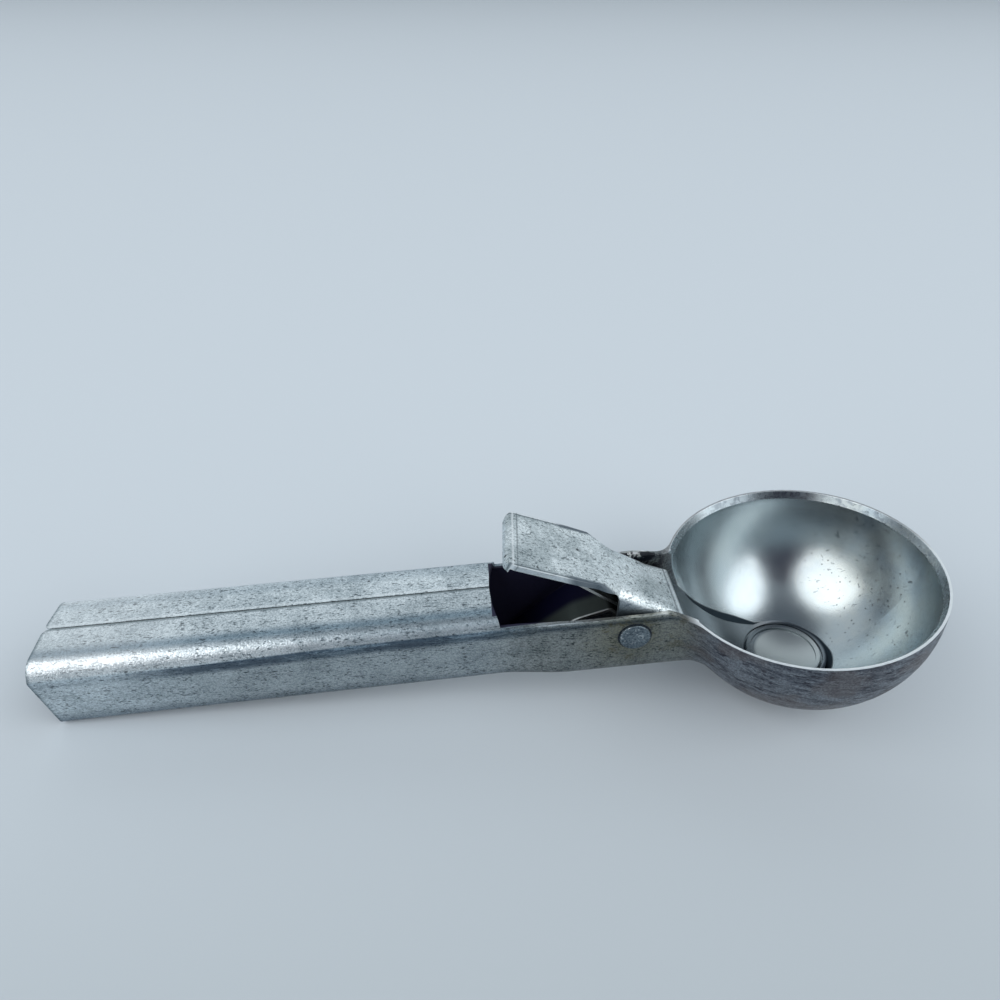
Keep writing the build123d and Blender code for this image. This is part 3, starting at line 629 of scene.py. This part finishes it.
def table_finish():
    """Plain and pale, with a painted shadow that darkens it toward the viewer."""
    finish = Finish("table_top")
    shader = finish.add("ShaderNodeBsdfPrincipled")
    away = finish.step(finish.across(), -0.17, 0.05)
    colour = finish.blend(away, (0.40, 0.45, 0.48), (0.575, 0.64, 0.695))
    finish.feed(shader.inputs["Base Color"], colour)
    shader.inputs["Roughness"].default_value = 0.7
    shader.inputs["Specular IOR Level"].default_value = 0.2
    out = finish.add("ShaderNodeOutputMaterial")
    finish.tree.links.new(shader.outputs[0], out.inputs[0])
    return finish.material


def give(piece, material):
    piece.data.materials.clear()
    piece.data.materials.append(material)


def lay_table():
    """A wide plain table top."""
    mesh = bpy.data.meshes.new("table")
    form = bmesh.new()
    bmesh.ops.create_grid(form, x_segments=1, y_segments=1, size=TABLE_HALF)
    form.to_mesh(mesh)
    form.free()
    table = bpy.data.objects.new("table", mesh)
    bpy.context.scene.collection.objects.link(table)
    table.location = (0.0, 0.0, -TABLE_DROP)
    give(table, table_finish())


def direction(azimuth, elevation):
    """Unit vector; azimuth is turned from +Y toward +X."""
    a, e = radians(azimuth), radians(elevation)
    return Vector((sin(a) * cos(e), cos(a) * cos(e), sin(e)))


def soft_lamp(name, azimuth, elevation, width, height, radiance):
    """A round lamp of this width and height in degrees, seen from the bowl."""
    lamp = bpy.data.lights.new(name, "AREA")
    lamp.shape = "ELLIPSE"
    lamp.size = 2 * LAMP_DISTANCE * tan(radians(width / 2))
    lamp.size_y = 2 * LAMP_DISTANCE * tan(radians(height / 2))
    lamp.energy = radiance * pi * (pi / 4 * lamp.size * lamp.size_y)
    lamp.color = (1.0, 0.99, 0.98)
    thing = bpy.data.objects.new(name, lamp)
    bpy.context.scene.collection.objects.link(thing)
    away = direction(azimuth, elevation)
    thing.location = BOWL_MIDDLE + away * LAMP_DISTANCE
    thing.rotation_euler = away.to_track_quat("Z", "Y").to_euler()


def light_room():
    """A room with a pale far wall, a dim near side, a dark ceiling and two soft lamps."""
    world = bpy.data.worlds.new("room")
    bpy.context.scene.world = world
    world.use_nodes = True
    sky = Finish("room", world.node_tree)
    look = sky.add("ShaderNodeTexCoord").outputs["Generated"]

    def facing(way):
        return sky.vector("DOT_PRODUCT", look, way, 1)

    far_wall = sky.step(facing(direction(10, 25)), -0.45, 0.65)
    colour = sky.blend(far_wall, (0.15, 0.18, 0.21), (0.86, 0.92, 0.96))
    ceiling = sky.step(facing((0.0, 0.0, 1.0)), 0.80, 0.93, 0.0, 0.95)
    colour = sky.blend(ceiling, colour, (0.10, 0.12, 0.15))
    dark_corner = sky.step(facing(direction(-168, 28)), cos(radians(30)), cos(radians(17)))
    colour = sky.blend(dark_corner, colour, (0.02, 0.018, 0.05))
    back = sky.add("ShaderNodeBackground")
    sky.feed(back.inputs["Color"], colour)
    back.inputs["Strength"].default_value = ROOM_STRENGTH
    out = sky.add("ShaderNodeOutputWorld")
    sky.tree.links.new(back.outputs[0], out.inputs[0])
    soft_lamp("lamp_left", -117, 31, 60, 60, 2.2)
    soft_lamp("lamp_right", 130, 33, 56, 66, 2.2)


def set_camera():
    camera = bpy.data.cameras.new("camera")
    camera.lens = CAMERA_LENS
    camera.sensor_width = 36.0
    camera.clip_start = 0.01
    thing = bpy.data.objects.new("camera", camera)
    bpy.context.scene.collection.objects.link(thing)
    turn = (Matrix.Rotation(CAMERA_YAW, 4, "Z")
            @ Matrix.Rotation(pi / 2 - CAMERA_PITCH, 4, "X")
            @ Matrix.Rotation(-CAMERA_ROLL, 4, "Z"))
    thing.matrix_world = Matrix.Translation(CAMERA_PLACE) @ turn
    bpy.context.scene.camera = thing


def spring_leaf(node):
    """The return spring as a piece that bends between the neck's floor and the lever."""
    leaf = bpy.data.objects.new("spring_leaf", node.data.copy())
    bpy.context.scene.collection.objects.link(leaf)
    form = bmesh.new()
    form.from_mesh(leaf.data)
    bmesh.ops.remove_doubles(form, verts=form.verts, dist=1e-6)
    form.to_mesh(leaf.data)
    form.free()
    give(leaf, spring_finish())
    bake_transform(leaf)
    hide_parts("return_spring")


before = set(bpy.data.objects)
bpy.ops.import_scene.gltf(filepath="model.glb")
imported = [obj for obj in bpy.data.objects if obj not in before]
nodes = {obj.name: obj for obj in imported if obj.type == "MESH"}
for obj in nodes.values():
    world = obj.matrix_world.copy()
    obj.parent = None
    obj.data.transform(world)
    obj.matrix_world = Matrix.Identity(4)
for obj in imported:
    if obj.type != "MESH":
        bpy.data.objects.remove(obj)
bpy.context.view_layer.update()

set_camera()
lay_table()
light_room()
give(nodes["scoop_body"], body_finish())
give(nodes["thumb_lever"], lever_finish())
give(nodes["pivot_rivet"], rivet_finish())
spring_leaf(nodes["return_spring"])

bpy.context.scene.view_settings.view_transform = "Standard"
